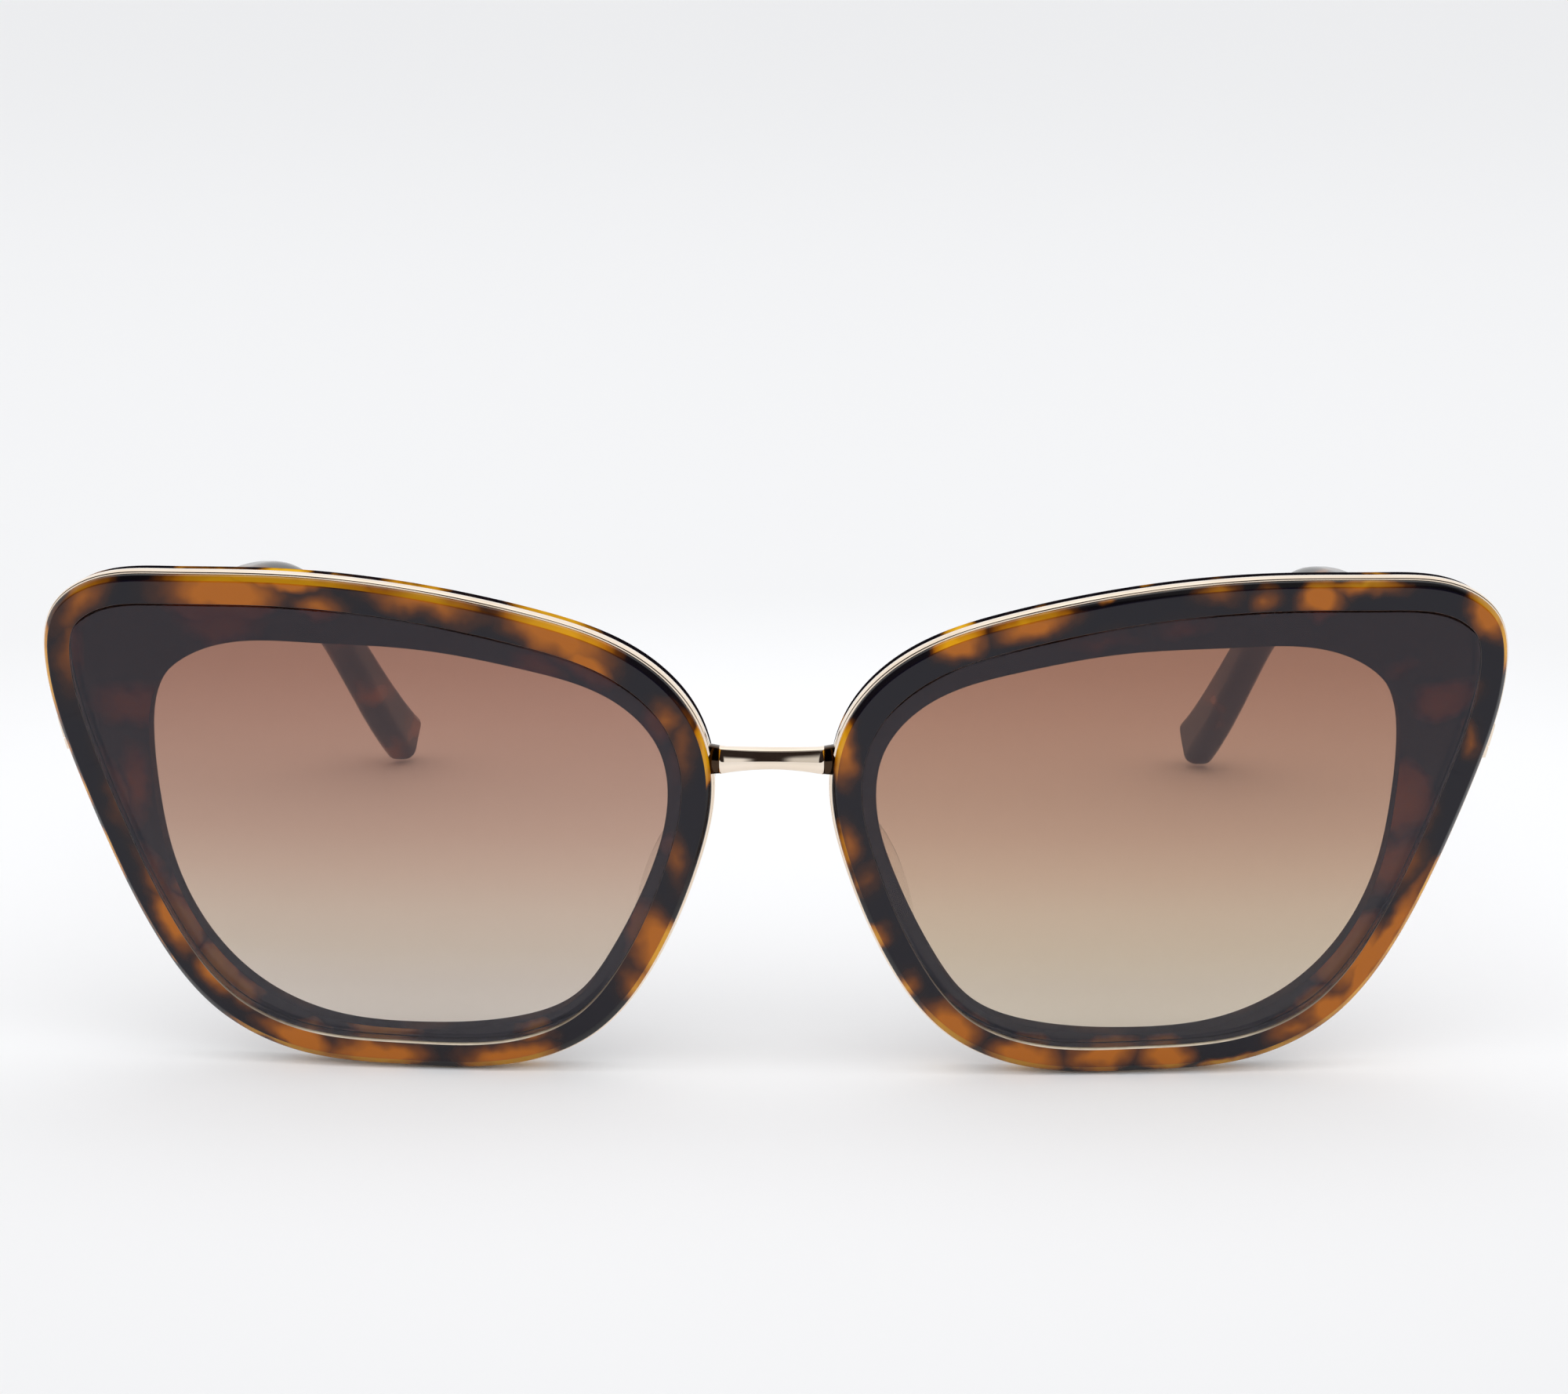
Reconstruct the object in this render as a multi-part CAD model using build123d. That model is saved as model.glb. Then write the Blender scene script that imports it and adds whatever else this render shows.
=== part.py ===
from build123d import *
import math
import os

os.makedirs("parts", exist_ok=True)

# Cat eye sunglasses, combination frame: two thick acetate rims, each with a metal rim wire
# sprung into a groove round its edge, joined by a metal bridge and hinged to acetate temples.
# Frame of the part: +X is the wearer's left, +Y points back along the temples, +Z is up.
# The origin is the centre of the bounding box on the surface that the glasses stand on.

# ---- driving dimensions, millimetres and degrees ----
BASE_RADIUS = 220.0        # radius of the front surface, curved about an upright axis
WRAP = 5.0                 # each rim is turned back by this much
TILT = 6.0                 # the top of the front leans forward by this much
RIM_CENTRE_X = 39.0        # the rim turns and curves about this line
FRONT_Y = -67.835          # the foot of the front plane
FRONT_Z = 0.38             # lift that brings the lowest point of the rim wire to zero

RIM_THICK = 4.1
LIP_THICK = 0.9            # acetate in front of the wire groove
WIRE_WIDE = 1.3            # rim wire, measured front to back
GROOVE_DEEP = 0.6          # in from the rim's outline
WIRE_PROUD = 0.25
WIRE_SLACK = 0.02          # between the wire and the walls of its groove

LENS_INSET = 2.75          # recess for the lens, inside the rim's outline
LENS_SLACK = 0.05
LENS_THICK = 1.8

BRIDGE_HALF = 5.0          # half length of the straight middle part
BRIDGE_FRONT = -0.5        # its front and back faces, from the front plane
BRIDGE_BACK = 1.4
BRIDGE_END = 8.0           # its turned-back ends are drawn to here and cut off at the wires
BRIDGE_END_DEPTH = (1.3, 3.1)  # front and back faces of the turned-back ends
BRIDGE_TOP = 32.8
BRIDGE_BOTTOM = 30.95
BRIDGE_FLARE_TOP = 0.18    # rise of the top edge towards each end
BRIDGE_FLARE_BOTTOM = 1.45  # drop of the bottom edge towards each end

PAD_ROOT = (10.3, 18.0)    # middle of the pad's foot on the rim, across and up
PAD_REACH = 7.0            # how far the pad stands out behind the rim
PAD_HALF_LENGTH = 8.5
PAD_THICK = 1.8
PAD_EDGE_R = 0.7           # rounding of its edges
PAD_SPLAY = 23.0
PAD_LEAN = 23.0

BLOCK_INSET = 2.2          # closing blocks, from this far inside the rim's outline
BLOCK_PROUD = 0.9          # to this far outside it
BLOCK_BACK = 4.9           # their back face, behind the front surface
BLOCK_LOW = (30.2, 31.2)   # heights of the lower block
BLOCK_HIGH = (31.35, 33.5)  # heights of the upper block, part of the end piece
NOTCH = (28.9, 34.2)       # heights of the notch behind the wire
CLOSING_SCREW_X = 67.9
CLOSING_SCREW_DEPTH = 3.5  # behind the front surface
CLOSING_SCREW_R = 0.5
CLOSING_SCREW_TOP = 33.1
CLOSING_HEAD_R = 0.85
CLOSING_HEAD_H = 0.7

HINGE_X = 65.3
HINGE_Y = 10.5             # behind the foot of the front plane
HINGE_Z = 31.5
KNUCKLE_R = 1.25
SCREW_R = 0.7
SCREW_RUN = 0.04           # running clearance round the screw
SCREW_HEAD_R = 1.05
SCREW_HEAD_H = 0.5
MIDDLE_HALF = 0.7          # half height of the temple's knuckle
GAP = 0.2                  # between knuckles, filled by a washer
WASHER = 0.14
KNUCKLE_END = 2.1          # half height of the whole hinge barrel
PLATE_X = (67.5, 69.3)     # outer plate of the end piece
PLATE_END = 1.8            # it ends this far behind the hinge axis
PLATE_NECK = (4.2, 32.6, 34.3)  # its front edge at the block: depth, lower and upper heights
PLATE_FULL = (7.0, 8.8)    # depths where its upper and its lower edge reach full height
WEB_LONG = 1.8             # webs that join the plate to its knuckles, front to back

TEMPLE_START = 2.0         # the temple starts this far behind the hinge axis
TEMPLE_THICK = 3.8
CORE_THICK = 1.2
CORE_HALF_HIGH = 1.1
LEAF_X = (64.6, 65.5)      # hinge leaf let into the temple's inner face
LEAF_LONG = 8.0
LEAF_HALF_HIGH = 1.2

# ---- outlines, across and up in the plane of the front ----
RIM_OUTLINE = [
    (70.9, 39.5), (70.0, 44.8), (66.2, 47.9), (58.5, 49.1), (48.0, 49.4), (35.5, 48.5), (23.0, 46.0),
    (13.6, 42.3), (7.8, 36.4), (5.95, 29.5), (7.6, 20.5), (11.6, 11.0), (17.5, 3.6), (25.5, 0.3),
    (36.0, -0.1), (46.5, 0.75), (55.0, 4.7), (61.3, 12.7), (65.8, 22.4), (69.0, 31.0),
]
OPENING_OUTLINE = [
    (60.7, 32.0), (59.4, 38.2), (54.0, 42.0), (44.5, 42.8), (33.7, 42.4), (23.7, 40.6), (15.2, 37.4),
    (11.0, 32.4), (10.3, 27.5), (12.4, 19.2), (16.2, 11.3), (19.9, 6.6), (25.7, 4.3), (35.1, 3.5),
    (44.0, 4.3), (51.6, 7.9), (56.7, 13.7), (59.4, 20.3), (60.4, 26.5),
]
# the temple's middle line seen from above, across and back from the foot of the front plane
TEMPLE_PLAN = [(67.1, 12.0), (67.4, 40.0), (65.8, 70.0), (61.7, 98.0), (57.0, 120.0), (51.3, 142.0)]
# the temple's upper and lower edges seen from the side, back and up
TEMPLE_TOP = [
    (12.0, 34.0), (32.0, 35.2), (55.0, 35.9), (80.0, 35.5), (97.0, 33.6), (112.5, 26.8), (127.0, 15.9),
    (141.3, 5.2),
]
TEMPLE_BOTTOM = [
    (138.0, 0.0), (123.5, 12.6), (109.0, 24.4), (95.0, 30.4), (80.0, 32.0), (55.0, 32.0), (32.0, 30.6),
    (12.0, 28.9),
]
OFFSET_POINTS = 48         # points that carry an outline grown inwards or outwards


def outline_face(points):
    """A face in the upright plane of the front, bounded by a smooth closed curve."""
    return Plane.XZ * make_face(Spline(*points, periodic=True))


def grown(points, amount):
    """The face of a smooth closed outline, grown outwards by an amount."""
    curve = Spline(*points, periodic=True)
    moved = []
    for step in range(OFFSET_POINTS):
        at = step / OFFSET_POINTS
        place, along = curve @ at, curve % at
        moved.append((place.X + amount * along.Y, place.Y - amount * along.X))
    return outline_face(moved)


def prism(face, near=-4.0, far=14.0):
    """A face of the front plane made solid, from one depth to another."""
    return Pos(0, near, 0) * extrude(face, amount=near - far)


def surface_depth(across):
    """How far the curved front surface falls back at a distance across."""
    return BASE_RADIUS - math.sqrt(BASE_RADIUS ** 2 - (across - RIM_CENTRE_X) ** 2)


def behind(depth):
    """Everything that lies deeper than a depth behind the curved front surface."""
    axis_place = Pos(RIM_CENTRE_X, BASE_RADIUS, 25)
    return axis_place * Cylinder(radius=BASE_RADIUS - depth, height=120)


def layer(face, near, far):
    """A face made solid between two depths behind the curved front surface."""
    return (prism(face) & behind(near)) - behind(far)


def ring_layer(inset, proud, near, far):
    """A band along the rim's outline, between two depths."""
    return layer(grown(RIM_OUTLINE, proud), near, far) - prism(grown(RIM_OUTLINE, -inset))


def height_band(low, high):
    """A slab on the temple side of a rim, between two heights."""
    return Pos(68, 4, (low + high) / 2) * Box(12, 30, high - low)


TILT_PLACE = Pos(0, FRONT_Y, FRONT_Z) * Rot(TILT, 0, 0)
RIM_PLACE = TILT_PLACE * Pos(RIM_CENTRE_X, 0, 0) * Rot(0, 0, WRAP) * Pos(-RIM_CENTRE_X, 0, 0)
SIDE_PLACE = Pos(0, FRONT_Y, 0)


def make_wire():
    """Rim wire: a split ring, proud of the acetate."""
    near = LIP_THICK + WIRE_SLACK
    far = LIP_THICK + WIRE_WIDE - WIRE_SLACK
    ring = ring_layer(GROOVE_DEEP - WIRE_SLACK, WIRE_PROUD, near, far)
    return ring - height_band(BLOCK_LOW[1], BLOCK_HIGH[0])


def make_rim():
    """Acetate rim: front lip, grooved edge, lens recess in front and open middle."""
    full = layer(outline_face(RIM_OUTLINE), 0, RIM_THICK)
    groove = ring_layer(GROOVE_DEEP, 3.0, LIP_THICK, LIP_THICK + WIRE_WIDE)
    recess = layer(grown(RIM_OUTLINE, -LENS_INSET), -1.0, LENS_THICK)
    notch_ring = ring_layer(BLOCK_INSET + 0.1, 3.0, LIP_THICK + WIRE_WIDE, RIM_THICK + 3.0)
    notch = notch_ring & height_band(*NOTCH)
    return full - groove - recess - notch - prism(outline_face(OPENING_OUTLINE))


def make_lens():
    """Lens laid into the rim from the front, flush with it."""
    return layer(grown(RIM_OUTLINE, -LENS_INSET - LENS_SLACK), 0, LENS_THICK)


def make_pad():
    """Clear nose pad: half an ellipse standing on the back of the rim, cemented to it."""
    ellipse = Plane.YZ * Ellipse(PAD_REACH, PAD_HALF_LENGTH)
    leaf = extrude(ellipse, amount=PAD_THICK / 2, both=True)
    leaf = fillet(leaf.edges(), PAD_EDGE_R)
    across, up = PAD_ROOT
    foot = surface_depth(across) + RIM_THICK
    placed = Pos(across, foot, up) * Rot(0, -PAD_LEAN, 0) * Rot(0, 0, -PAD_SPLAY) * leaf
    return placed & behind(RIM_THICK)


def make_closing_screw():
    """Screw that pulls the two closing blocks together round the acetate."""
    head = Pos(0, 0, BLOCK_LOW[0] - CLOSING_HEAD_H / 2) * Cylinder(CLOSING_HEAD_R, CLOSING_HEAD_H)
    shank_long = CLOSING_SCREW_TOP - BLOCK_LOW[0]
    shank = Pos(0, 0, BLOCK_LOW[0] + shank_long / 2) * Cylinder(CLOSING_SCREW_R, shank_long)
    depth = surface_depth(CLOSING_SCREW_X) + CLOSING_SCREW_DEPTH
    return Pos(CLOSING_SCREW_X, depth, 0) * (head + shank)


def make_block(low, high):
    """Closing block: a short length of the rim's edge, behind the wire."""
    near = LIP_THICK + WIRE_WIDE
    return ring_layer(BLOCK_INSET, BLOCK_PROUD, near, BLOCK_BACK) & height_band(low, high)


def barrel(low, high, radius=KNUCKLE_R):
    """A stretch of the hinge barrel, between two heights about its middle."""
    return Pos(HINGE_X, HINGE_Y, HINGE_Z + (low + high) / 2) * Cylinder(radius, high - low)


def make_hinge_screw():
    """Hinge screw: shank through all three knuckles, head on top."""
    shank = barrel(-KNUCKLE_END, KNUCKLE_END, SCREW_R)
    head = barrel(KNUCKLE_END, KNUCKLE_END + SCREW_HEAD_H, SCREW_HEAD_R)
    return shank + head


def make_washers():
    """Two thin washers, above and below the temple's knuckle."""
    low = MIDDLE_HALF + (GAP - WASHER) / 2
    rings = [barrel(low, low + WASHER), barrel(-low - WASHER, -low)]
    hole = barrel(-KNUCKLE_END, KNUCKLE_END, SCREW_R + SCREW_RUN)
    return [ring - hole for ring in rings]


def make_end_plate():
    """Outer plate of the end piece with its two front knuckles."""
    rear = HINGE_Y + PLATE_END
    low = HINGE_Z - KNUCKLE_END
    high = HINGE_Z + KNUCKLE_END
    front, neck_low, neck_high = PLATE_NECK
    side = [(front, neck_low), (front, neck_high), (PLATE_FULL[0], high), (rear, high)]
    side += [(rear, low), (PLATE_FULL[1], low), (PLATE_FULL[0], neck_low)]
    flat = Plane.YZ * make_face(Polyline(*side, close=True))
    plate = Pos(PLATE_X[0], 0, 0) * extrude(flat, amount=PLATE_X[1] - PLATE_X[0])
    start = MIDDLE_HALF + GAP
    web_reach = (PLATE_X[0] + PLATE_X[1]) / 2 - HINGE_X
    web = Box(web_reach, WEB_LONG, KNUCKLE_END - start)
    web_place = Pos(HINGE_X + web_reach / 2, HINGE_Y - KNUCKLE_R + WEB_LONG / 2, HINGE_Z)
    for sign in (-1, 1):
        ends = sorted((sign * start, sign * KNUCKLE_END))
        plate = plate + barrel(*ends) + web_place * Pos(0, 0, sum(ends) / 2) * web
    return plate - barrel(-KNUCKLE_END, KNUCKLE_END, SCREW_R)


def make_leaf():
    """Temple leaf: a plate on the temple's inner face and the middle knuckle."""
    start = HINGE_Y + TEMPLE_START + 0.1
    wide = LEAF_X[1] - LEAF_X[0]
    middle_x = sum(LEAF_X) / 2
    plate = Pos(middle_x, start + LEAF_LONG / 2, HINGE_Z) * Box(wide, LEAF_LONG, 2 * LEAF_HALF_HIGH)
    neck_long = start - HINGE_Y
    neck = Pos(middle_x, HINGE_Y + neck_long / 2, HINGE_Z) * Box(wide, neck_long, 2 * MIDDLE_HALF)
    knuckle = barrel(-MIDDLE_HALF, MIDDLE_HALF)
    return plate + neck + knuckle - barrel(-KNUCKLE_END, KNUCKLE_END, SCREW_R + SCREW_RUN)


def plan_strip(thick):
    """The temple seen from above: a strip of a given thickness along its middle line."""
    half = thick / 2
    outer = Spline(*[(x + half, y) for x, y in TEMPLE_PLAN])
    inner = Spline(*[(x - half, y) for x, y in reversed(TEMPLE_PLAN)])
    ends = [Line(outer @ 1, inner @ 0), Line(inner @ 1, outer @ 0)]
    return Pos(0, 0, -5) * extrude(make_face(Curve() + [outer, inner] + ends), amount=50)


def side_slab(top, bottom):
    """The temple seen from the side, between its upper and lower edges."""
    upper = Spline(*top)
    lower = Spline(*bottom)
    ends = [Line(upper @ 1, lower @ 0), Line(lower @ 1, upper @ 0)]
    return Pos(40, 0, 0) * extrude(Plane.YZ * make_face(Curve() + [upper, lower] + ends), amount=35)


def behind_hinge(strip):
    """Leaves only what lies behind the temple's front end."""
    return strip - Pos(HINGE_X, 0, HINGE_Z) * Box(20, 2 * (HINGE_Y + TEMPLE_START), 20)


def make_core():
    """Metal core inside the temple."""
    middle = [((a[0] + b[0]) / 2, (a[1] + b[1]) / 2)
              for a, b in zip(TEMPLE_TOP[:-1], reversed(TEMPLE_BOTTOM[1:]))]
    top = [(y, z + CORE_HALF_HIGH) for y, z in middle]
    bottom = [(y, z - CORE_HALF_HIGH) for y, z in reversed(middle)]
    return behind_hinge(plan_strip(CORE_THICK) & side_slab(top, bottom))


def make_temple(core, leaf):
    """Acetate temple: straight to the ear, then bent down and in to its tip."""
    body = plan_strip(TEMPLE_THICK) & side_slab(TEMPLE_TOP, TEMPLE_BOTTOM)
    return behind_hinge(body) - core - leaf


def make_bridge():
    """Metal bridge: a bar whose ends turn back and butt on the two rim wires."""
    front_edge = [(BRIDGE_HALF, BRIDGE_FRONT), (BRIDGE_END, BRIDGE_END_DEPTH[0])]
    back_edge = [(BRIDGE_END, BRIDGE_END_DEPTH[1]), (BRIDGE_HALF - 0.6, BRIDGE_BACK)]
    half_plan = front_edge + back_edge
    mirrored = [(-x, y) for x, y in reversed(half_plan)]
    plan = extrude(make_face(Polyline(*half_plan, *mirrored, close=True)), amount=40)
    high = BRIDGE_TOP + BRIDGE_FLARE_TOP
    low = BRIDGE_BOTTOM - BRIDGE_FLARE_BOTTOM
    top = ThreePointArc((-BRIDGE_END, high), (0, BRIDGE_TOP), (BRIDGE_END, high))
    bottom = ThreePointArc((BRIDGE_END, low), (0, BRIDGE_BOTTOM), (-BRIDGE_END, low))
    ends = [Line(top @ 1, bottom @ 0), Line(bottom @ 1, top @ 0)]
    front = prism(Plane.XZ * make_face(Curve() + [top, bottom] + ends))
    bar = TILT_PLACE * (plan & front)
    rim_space = RIM_PLACE * prism(grown(RIM_OUTLINE, WIRE_PROUD))
    return bar - rim_space - mirror(rim_space, about=Plane.YZ)


def save(name, *solids):
    """Write one sub-part to its own file."""
    shape = solids[0] if len(solids) == 1 else Compound(children=list(solids))
    export_step(shape, "parts/" + name + ".step")


def both_sides(name, *shapes):
    """Write the wearer's left piece and its mirror image."""
    save(name + "_left", *shapes)
    save(name + "_right", *[mirror(shape, about=Plane.YZ) for shape in shapes])


closing_screw = RIM_PLACE * make_closing_screw()
upper_block = RIM_PLACE * make_block(*BLOCK_HIGH)
lower_block = RIM_PLACE * make_block(*BLOCK_LOW) - closing_screw
wire = RIM_PLACE * make_wire()
rim = RIM_PLACE * make_rim()
end_piece = (SIDE_PLACE * make_end_plate() + upper_block) - closing_screw - wire - rim
core = make_core()
leaf = make_leaf()
temple = make_temple(core, leaf)

both_sides("rim", rim)
both_sides("rim_wire", wire)
both_sides("lens", RIM_PLACE * make_lens())
both_sides("nose_pad", RIM_PLACE * make_pad())
both_sides("closing_block", lower_block)
both_sides("closing_screw", closing_screw)
both_sides("end_piece", end_piece)
both_sides("hinge_screw", SIDE_PLACE * make_hinge_screw())
both_sides("hinge_washers", *[SIDE_PLACE * washer for washer in make_washers()])
both_sides("hinge_leaf", SIDE_PLACE * leaf)
both_sides("temple", SIDE_PLACE * temple)
both_sides("temple_core", SIDE_PLACE * core)
save("bridge", make_bridge())
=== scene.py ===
import math

import bmesh
import bpy
import numpy as np
from mathutils import Matrix, Vector


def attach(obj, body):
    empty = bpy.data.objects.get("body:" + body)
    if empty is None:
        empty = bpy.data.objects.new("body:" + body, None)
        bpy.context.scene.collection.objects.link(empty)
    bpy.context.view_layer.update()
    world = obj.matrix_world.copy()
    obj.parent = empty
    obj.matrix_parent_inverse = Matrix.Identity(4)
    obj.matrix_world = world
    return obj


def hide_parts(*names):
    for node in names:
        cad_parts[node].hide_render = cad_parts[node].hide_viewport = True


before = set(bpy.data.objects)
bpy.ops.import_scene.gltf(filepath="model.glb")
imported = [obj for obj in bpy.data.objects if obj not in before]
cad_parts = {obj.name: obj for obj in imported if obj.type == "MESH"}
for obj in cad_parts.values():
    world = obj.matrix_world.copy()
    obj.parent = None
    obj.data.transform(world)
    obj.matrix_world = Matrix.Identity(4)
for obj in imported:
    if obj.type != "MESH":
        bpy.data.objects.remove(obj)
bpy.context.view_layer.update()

# Lengths are millimetres here, and become metres where points are placed.
MM = 0.001
BASE_RADIUS = 220.0
WRAP = math.radians(5.0)
TILT = math.radians(6.0)
RIM_CENTRE_X = 39.0
FRONT_Y = -67.835
FRONT_Z = 0.38

RIM_THICK = 4.1
LIP_THICK = 0.9
GROOVE_BACK = 2.2
GROOVE_DEEP = 0.6
WIRE_PROUD = 0.25
WIRE_GAP = 0.03
LENS_INSET = 2.75
LENS_THICK = 1.8
LENS_SIDE_GAP = 0.015
LENS_BACK_GAP = 0.06
CHAMFER_DEEP = 0.5
NOTCH = (28.9, 34.2)        # heights between which the end piece is let into the rim
NOTCH_DEEP = 2.3
WIRE_SPLIT = (31.2, 31.35)  # heights of the wire's two ends
STEPS_ROUND = 320
PAD_ROOT = (10.3, 18.0)
PAD_SPLAY = math.radians(-23)
PAD_LEAN = math.radians(-23)
PAD_REACH = 7.0
PAD_HALF_HIGH = 8.5
PAD_SUNK = 0.6
TEMPLE_THICK = 3.8
TEMPLE_END_ROUND = 1.1
TEMPLE_FRONT = 12.5

RIM_OUTLINE = [
    (70.9, 39.5), (70.0, 44.8), (66.2, 47.9), (58.5, 49.1), (48.0, 49.4), (35.5, 48.5), (23.0, 46.0),
    (13.6, 42.3), (7.8, 36.4), (5.95, 29.5), (7.6, 20.5), (11.6, 11.0), (17.5, 3.6), (25.5, 0.3),
    (36.0, -0.1), (46.5, 0.75), (55.0, 4.7), (61.3, 12.7), (65.8, 22.4), (69.0, 31.0),
]
OPENING_OUTLINE = [
    (60.7, 32.0), (59.4, 38.2), (54.0, 42.0), (44.5, 42.8), (33.7, 42.4), (23.7, 40.6), (15.2, 37.4),
    (11.0, 32.4), (10.3, 27.5), (12.4, 19.2), (16.2, 11.3), (19.9, 6.6), (25.7, 4.3), (35.1, 3.5),
    (44.0, 4.3), (51.6, 7.9), (56.7, 13.7), (59.4, 20.3), (60.4, 26.5),
]
TEMPLE_PLAN = [(67.1, 12.0), (67.4, 40.0), (65.8, 70.0), (61.7, 98.0), (57.0, 120.0), (51.3, 142.0)]
TEMPLE_TOP = [
    (12.0, 34.0), (32.0, 35.2), (55.0, 35.9), (80.0, 35.5), (97.0, 33.6), (112.5, 26.8), (127.0, 15.9),
    (141.3, 5.2),
]
TEMPLE_BOTTOM = [
    (12.0, 28.9), (32.0, 30.6), (55.0, 32.0), (80.0, 32.0), (95.0, 30.4), (109.0, 24.4), (123.5, 12.6),
    (138.0, 0.0),
]
SIDES = (("left", 1), ("right", -1))


# ---------------------------------------------------------------- curves
def spline_table(points, closed, dense=3000):
    """A C2 cubic through the points, by chord length: dense points and their running length."""
    p = np.array(points, float)
    if closed:
        p = np.vstack([p, p[:1]])
    h = np.linalg.norm(np.diff(p, axis=0), axis=1)
    knots = np.concatenate([[0], np.cumsum(h)])
    n = len(p)
    a = np.zeros((n, n))
    b = np.zeros((n, p.shape[1]))
    slope = np.diff(p, axis=0) / h[:, None]
    for i in range(1, n - 1):
        a[i, i - 1:i + 2] = h[i - 1], 2 * (h[i - 1] + h[i]), h[i]
        b[i] = 6 * (slope[i] - slope[i - 1])
    if closed:
        a[0, 0], a[0, 1], a[0, n - 2] = 2 * (h[-1] + h[0]), h[0], h[-1]
        b[0] = 6 * (slope[0] - slope[-1])
        a[n - 1, 0], a[n - 1, n - 1] = 1, -1
    else:
        a[0, 0], a[0, 1], a[0, 2] = h[1], -(h[0] + h[1]), h[0]
        a[n - 1, n - 3], a[n - 1, n - 2], a[n - 1, n - 1] = h[-1], -(h[-2] + h[-1]), h[-2]
    m = np.linalg.solve(a, b)
    t = np.linspace(0, knots[-1], dense)
    i = np.clip(np.searchsorted(knots, t, side="right") - 1, 0, n - 2)
    u = (t - knots[i])[:, None]
    hi = h[i][:, None]
    v = hi - u
    q = (m[i] * v ** 3 + m[i + 1] * u ** 3) / (6 * hi)
    q += (p[i] / hi - m[i] * hi / 6) * v + (p[i + 1] / hi - m[i + 1] * hi / 6) * u
    length = np.concatenate([[0], np.cumsum(np.linalg.norm(np.diff(q, axis=0), axis=1))])
    return q, length


def along(table, at):
    """Points at given running lengths on a spline table."""
    q, length = table
    return np.stack([np.interp(at, length, q[:, k]) for k in range(q.shape[1])], axis=-1)


OUTLINE = spline_table(RIM_OUTLINE, True)
OPENING = spline_table(OPENING_OUTLINE, True)
ROUND = OUTLINE[1][-1]
CENTRE = np.array([37.0, 26.0])


def outline_at(at):
    """Points of the rim's outline and its inward normals, at running lengths round it."""
    wrap = np.mod(at, ROUND)
    p = along(OUTLINE, wrap)
    d = along(OUTLINE, np.mod(at + 0.2, ROUND)) - along(OUTLINE, np.mod(at - 0.2, ROUND))
    d /= np.linalg.norm(d, axis=1)[:, None]
    return p, np.stack([-d[:, 1], d[:, 0]], axis=1)


def opening_for(points):
    """The opening's points that lie on the same rays from the middle of the rim."""
    q = OPENING[0][:-1]
    angle = np.arctan2(q[:, 1] - CENTRE[1], q[:, 0] - CENTRE[0])
    order = np.argsort(angle)
    angle, q = angle[order], q[order]
    angle = np.concatenate([angle[-1:] - 2 * math.pi, angle, angle[:1] + 2 * math.pi])
    q = np.vstack([q[-1:], q, q[:1]])
    want = np.arctan2(points[:, 1] - CENTRE[1], points[:, 0] - CENTRE[0])
    return np.stack([np.interp(want, angle, q[:, k]) for k in range(2)], axis=1)


def height_on_temple_side(height):
    """Running length at which the outline's temple side crosses a height."""
    q, length = OUTLINE
    mask = (q[:, 0] > 60) & (q[:, 1] < 44) & (length > ROUND / 2)
    return float(np.interp(height, q[mask, 1], length[mask]))


# ---------------------------------------------------------------- placing
def tilt_place(p, side):
    """From the front plane's own axes to the shared frame."""
    x, y, z = p[..., 0], p[..., 1], p[..., 2]
    back = y * math.cos(TILT) - z * math.sin(TILT) + FRONT_Y
    up = y * math.sin(TILT) + z * math.cos(TILT) + FRONT_Z
    return np.stack([side * x, back, up], axis=-1) * MM


def wrap_place(p, side):
    """From one rim's own axes, turned back by the wrap, to the shared frame."""
    x, y = p[..., 0] - RIM_CENTRE_X, p[..., 1]
    across = RIM_CENTRE_X + x * math.cos(WRAP) - y * math.sin(WRAP)
    back = x * math.sin(WRAP) + y * math.cos(WRAP)
    return tilt_place(np.stack([across, back, p[..., 2]], axis=-1), side)


def rim_place(p, side):
    """From across, depth behind the curved front surface, and height to the shared frame."""
    sag = BASE_RADIUS - np.sqrt((BASE_RADIUS - p[..., 1]) ** 2 - (p[..., 0] - RIM_CENTRE_X) ** 2)
    return wrap_place(np.stack([p[..., 0], sag, p[..., 2]], axis=-1), side)


def side_place(p, side):
    """From axes at the foot of the front plane to the shared frame."""
    return (p * np.array([side, 1, 1]) + np.array([0, FRONT_Y, 0])) * MM


def lift(points, depth):
    """Points of the front plane given a depth: across, depth, height."""
    depth = np.broadcast_to(depth, len(points))
    return np.stack([points[:, 0], depth, points[:, 1]], axis=1)


# ---------------------------------------------------------------- meshes
def unit(v):
    """Vectors of length one."""
    return v / np.maximum(np.linalg.norm(v, axis=-1, keepdims=True), 1e-12)


def rounded(corners):
    """Rows of points from a closed ring of corners: each (points, rounding radius, material)."""
    rows, marks = [], []
    for k, (p, radius, mark) in enumerate(corners):
        if radius:
            before = p + unit(corners[k - 1][0] - p) * radius
            after = p + unit(corners[(k + 1) % len(corners)][0] - p) * radius
            rows += [before, (before + 2 * p + after) / 4, after]
            marks += [mark, mark, mark]
        else:
            rows.append(p)
            marks.append(mark)
    return np.array(rows), marks


def grid_faces(n_rows, n_cols, close_rows, close_cols):
    """Four-sided faces between the points of a grid, closed on itself either way if asked."""
    faces = []
    for r in range(n_rows if close_rows else n_rows - 1):
        for c in range(n_cols if close_cols else n_cols - 1):
            r2, c2 = (r + 1) % n_rows, (c + 1) % n_cols
            faces.append((r * n_cols + c, r * n_cols + c2, r2 * n_cols + c2, r2 * n_cols + c))
    return faces


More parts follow.
